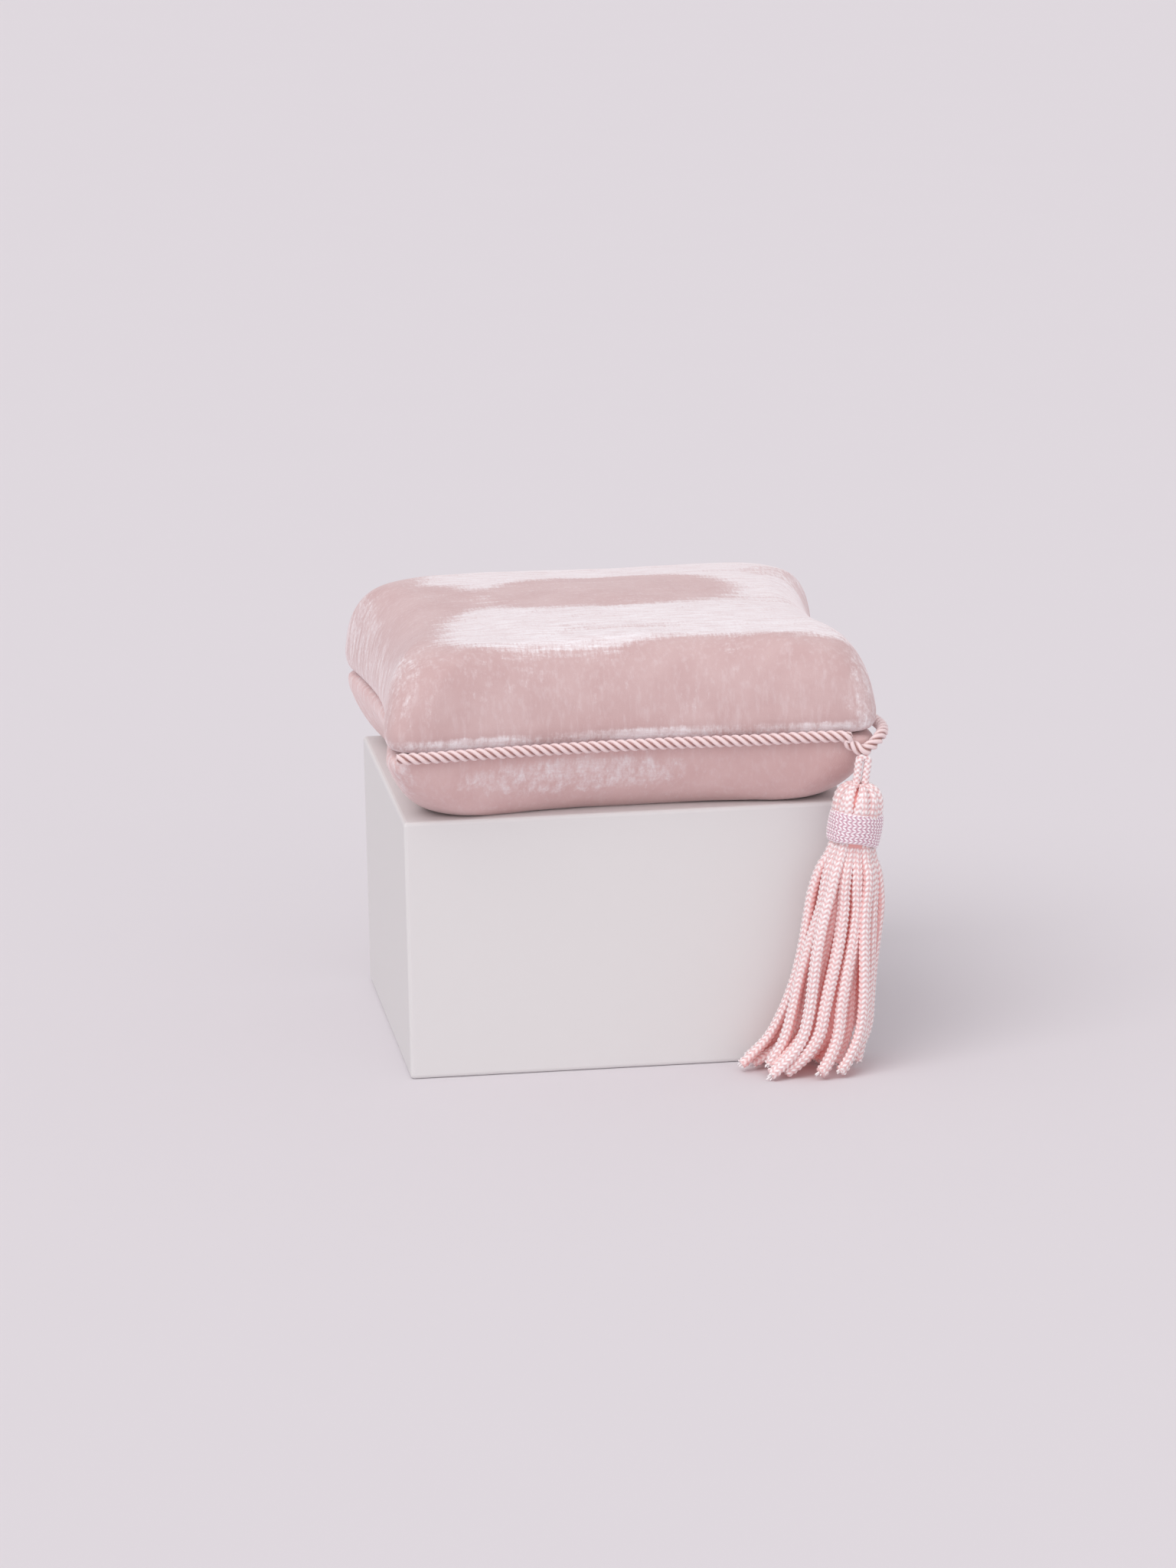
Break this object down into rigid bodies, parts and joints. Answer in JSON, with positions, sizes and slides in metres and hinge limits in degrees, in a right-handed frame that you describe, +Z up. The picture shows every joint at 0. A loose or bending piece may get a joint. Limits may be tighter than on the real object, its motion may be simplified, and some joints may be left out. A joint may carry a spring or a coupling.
{
  "type": "ring bearer pillow box",
  "caption": "Pillow-shaped velvet ring box with a padded hinged lid, ring rolls inside, a twisted cord in the seam and a hanging chainette tassel.",
  "frame": {"origin": "the middle of the flat underside that the box rests on", "axes": "+Z up; the front with the seam cord faces -Y; the hinge runs along X at +Y; the tassel hangs at the +X, -Y corner"},
  "size_m": [0.1027, 0.1122, 0.0904],
  "materials": {
    "velvet": "short-pile velvet, dusty blush pink, with pale crushed patches",
    "roll_velvet": "short-pile velvet over foam",
    "wadding": "matte polyester wadding",
    "board": "uncoated grey-brown card board",
    "satin": "soft satin weave",
    "twisted_cord": "rayon twisted cord, shiny",
    "chainette": "rayon chainette, shiny",
    "band_thread": "woven rayon thread, satin",
    "brass": "satin brass plate",
    "steel": "satin nickel-plated steel"
  },
  "bodies": {
    "base": {"base_velvet": "velvet", "base_wadding": "wadding", "base_board": "board", "base_lining": "satin", "base_magnet": "steel", "base_hinge_leaf": "brass", "base_hinge_rivet_1": "brass", "base_hinge_rivet_2": "brass", "base_hinge_rivet_3": "brass", "hinge_pin": "steel", "ring_bed_board": "board", "ring_roll_front": "roll_velvet", "ring_roll_middle": "roll_velvet", "ring_roll_back": "roll_velvet", "trim_cord": "twisted_cord"},
    "lid": {"lid_velvet": "velvet", "lid_wadding": "wadding", "lid_board": "board", "lid_lining": "satin", "lid_magnet": "steel", "lid_hinge_leaf": "brass", "lid_hinge_rivet_1": "brass", "lid_hinge_rivet_2": "brass", "lid_hinge_rivet_3": "brass", "lid_pad": "satin"},
    "tassel_loop": {"tassel_loop": "chainette"},
    "tassel": {"tassel_head": "chainette", "tassel_band": "band_thread", "tassel_strand_01": "chainette", "tassel_strand_02": "chainette", "tassel_strand_03": "chainette", "tassel_strand_04": "chainette", "tassel_strand_05": "chainette", "tassel_strand_06": "chainette", "tassel_strand_07": "chainette", "tassel_strand_08": "chainette", "tassel_strand_09": "chainette", "tassel_strand_10": "chainette", "tassel_strand_11": "chainette", "tassel_strand_12": "chainette", "tassel_strand_13": "chainette", "tassel_strand_14": "chainette", "tassel_strand_15": "chainette", "tassel_strand_16": "chainette", "tassel_strand_17": "chainette", "tassel_strand_18": "chainette", "tassel_strand_19": "chainette", "tassel_strand_20": "chainette", "tassel_strand_21": "chainette", "tassel_strand_22": "chainette", "tassel_strand_23": "chainette", "tassel_strand_24": "chainette"}
  },
  "joints": [
    {"name": "lid_hinge", "type": "hinge", "parent": "base", "child": "lid", "pos_m": [0, 0.05012, 0.015], "axis": [-1, 0, 0], "range_deg": [0, 95]},
    {"name": "tassel_lift", "type": "hinge", "parent": "base", "child": "tassel_loop", "pos_m": [0.0467, -0.0513, 0.0108], "axis": [-0.7878, -0.6159, 0], "range_deg": [0, 55]},
    {"name": "tassel_swing", "type": "hinge", "parent": "tassel_loop", "child": "tassel", "pos_m": [0.04595, -0.0513, 0.00581], "axis": [0.6159, -0.7878, 0], "range_deg": [-24, 36]}
  ]
}
